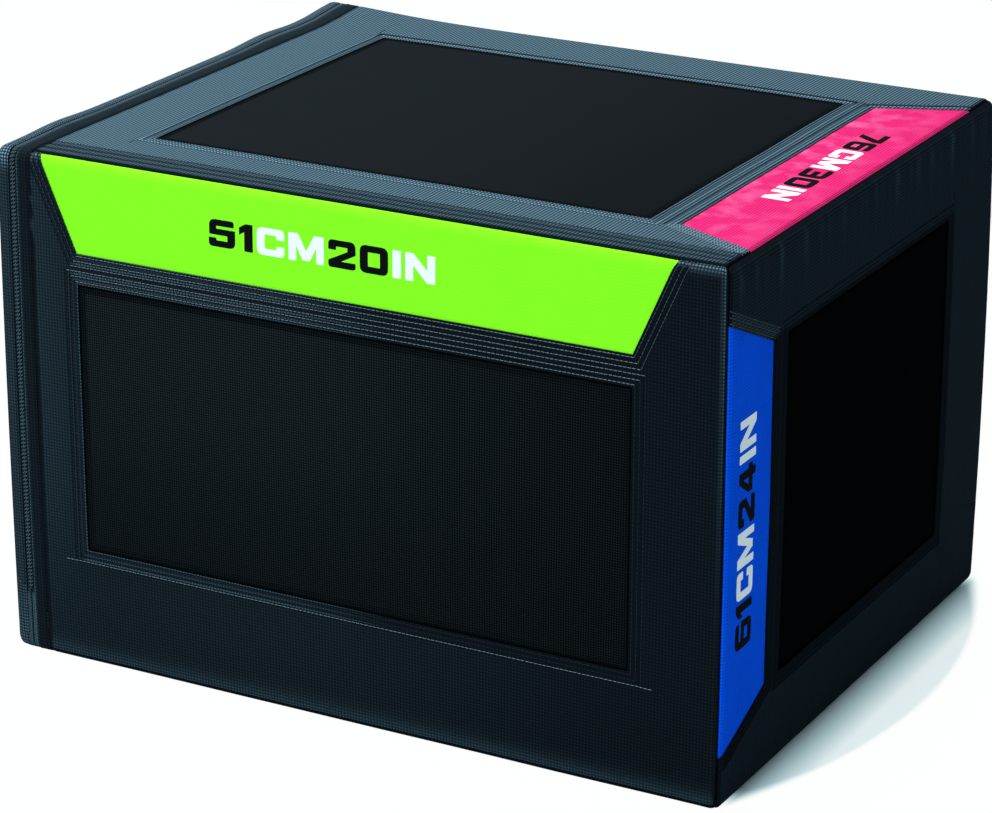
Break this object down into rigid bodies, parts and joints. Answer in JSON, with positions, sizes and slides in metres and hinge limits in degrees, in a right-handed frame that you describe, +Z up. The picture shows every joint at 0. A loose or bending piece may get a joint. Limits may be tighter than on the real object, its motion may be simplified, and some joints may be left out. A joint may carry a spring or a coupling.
{
  "type": "plyo box",
  "caption": "Soft foam jump box in a black zipped cover, with a coloured height band and a grip insert on each face; it is turned onto another face for another jump height.",
  "frame": {"origin": "middle of the underside, on the floor", "axes": "+X along the length towards the blue end, +Y towards the back, +Z up"},
  "size_m": [0.76, 0.6171, 0.51],
  "materials": {
    "cover_cloth": "PVC-coated mesh-grain polyester cloth, black, satin",
    "grip_cloth": "non-slip rubber-dotted cloth, black, matt",
    "green_band": "coated cloth, lime green, satin",
    "blue_band": "coated cloth, blue, satin",
    "pink_band": "coated cloth, pink, satin",
    "zip_tape": "woven polyester tape, black",
    "zip_coil": "polyester monofilament coil, black",
    "slider_metal": "die-cast zinc, black lacquer",
    "face_foam": "closed-cell polyethylene foam board, dark grey",
    "core_foam": "polyurethane foam plank, pale grey"
  },
  "bodies": {
    "box": {"front_panel": "cover_cloth", "front_band": "green_band", "front_grip": "grip_cloth", "back_panel": "cover_cloth", "back_band": "green_band", "back_grip": "grip_cloth", "right_panel": "cover_cloth", "right_band": "blue_band", "right_grip": "grip_cloth", "top_panel": "cover_cloth", "top_band": "pink_band", "top_grip": "grip_cloth", "bottom_panel": "cover_cloth", "bottom_band": "pink_band", "bottom_grip": "grip_cloth", "zip_tape_box": "zip_tape", "zip_coil_box": "zip_coil", "top_pad": "face_foam", "bottom_pad": "face_foam", "front_pad": "face_foam", "back_pad": "face_foam", "left_pad": "face_foam", "right_pad": "face_foam", "core_plank_1": "core_foam", "core_plank_2": "core_foam", "core_plank_3": "core_foam", "core_plank_4": "core_foam"},
    "end_flap": {"left_panel": "cover_cloth", "left_band": "blue_band", "left_grip": "grip_cloth", "flap_rim": "cover_cloth", "zip_tape_flap": "zip_tape", "zip_coil_flap": "zip_coil", "zip_end_tab": "cover_cloth"},
    "slider": {"zip_slider": "slider_metal"},
    "puller": {"zip_puller": "slider_metal"}
  },
  "joints": [
    {"name": "end_flap_hinge", "type": "hinge", "parent": "box", "child": "end_flap", "pos_m": [-0.37649, 0, 0.00351], "axis": [0, -1, 0], "range_deg": [0, 90]},
    {"name": "zip_slide", "type": "slide", "parent": "box", "child": "slider", "axis": [0, 0, 1], "range_m": [0, 0.43]},
    {"name": "puller_swing", "type": "hinge", "parent": "slider", "child": "puller", "pos_m": [-0.3579, 0.3091, 0.0555], "axis": [1, 0, 0], "range_deg": [0, 175]}
  ]
}
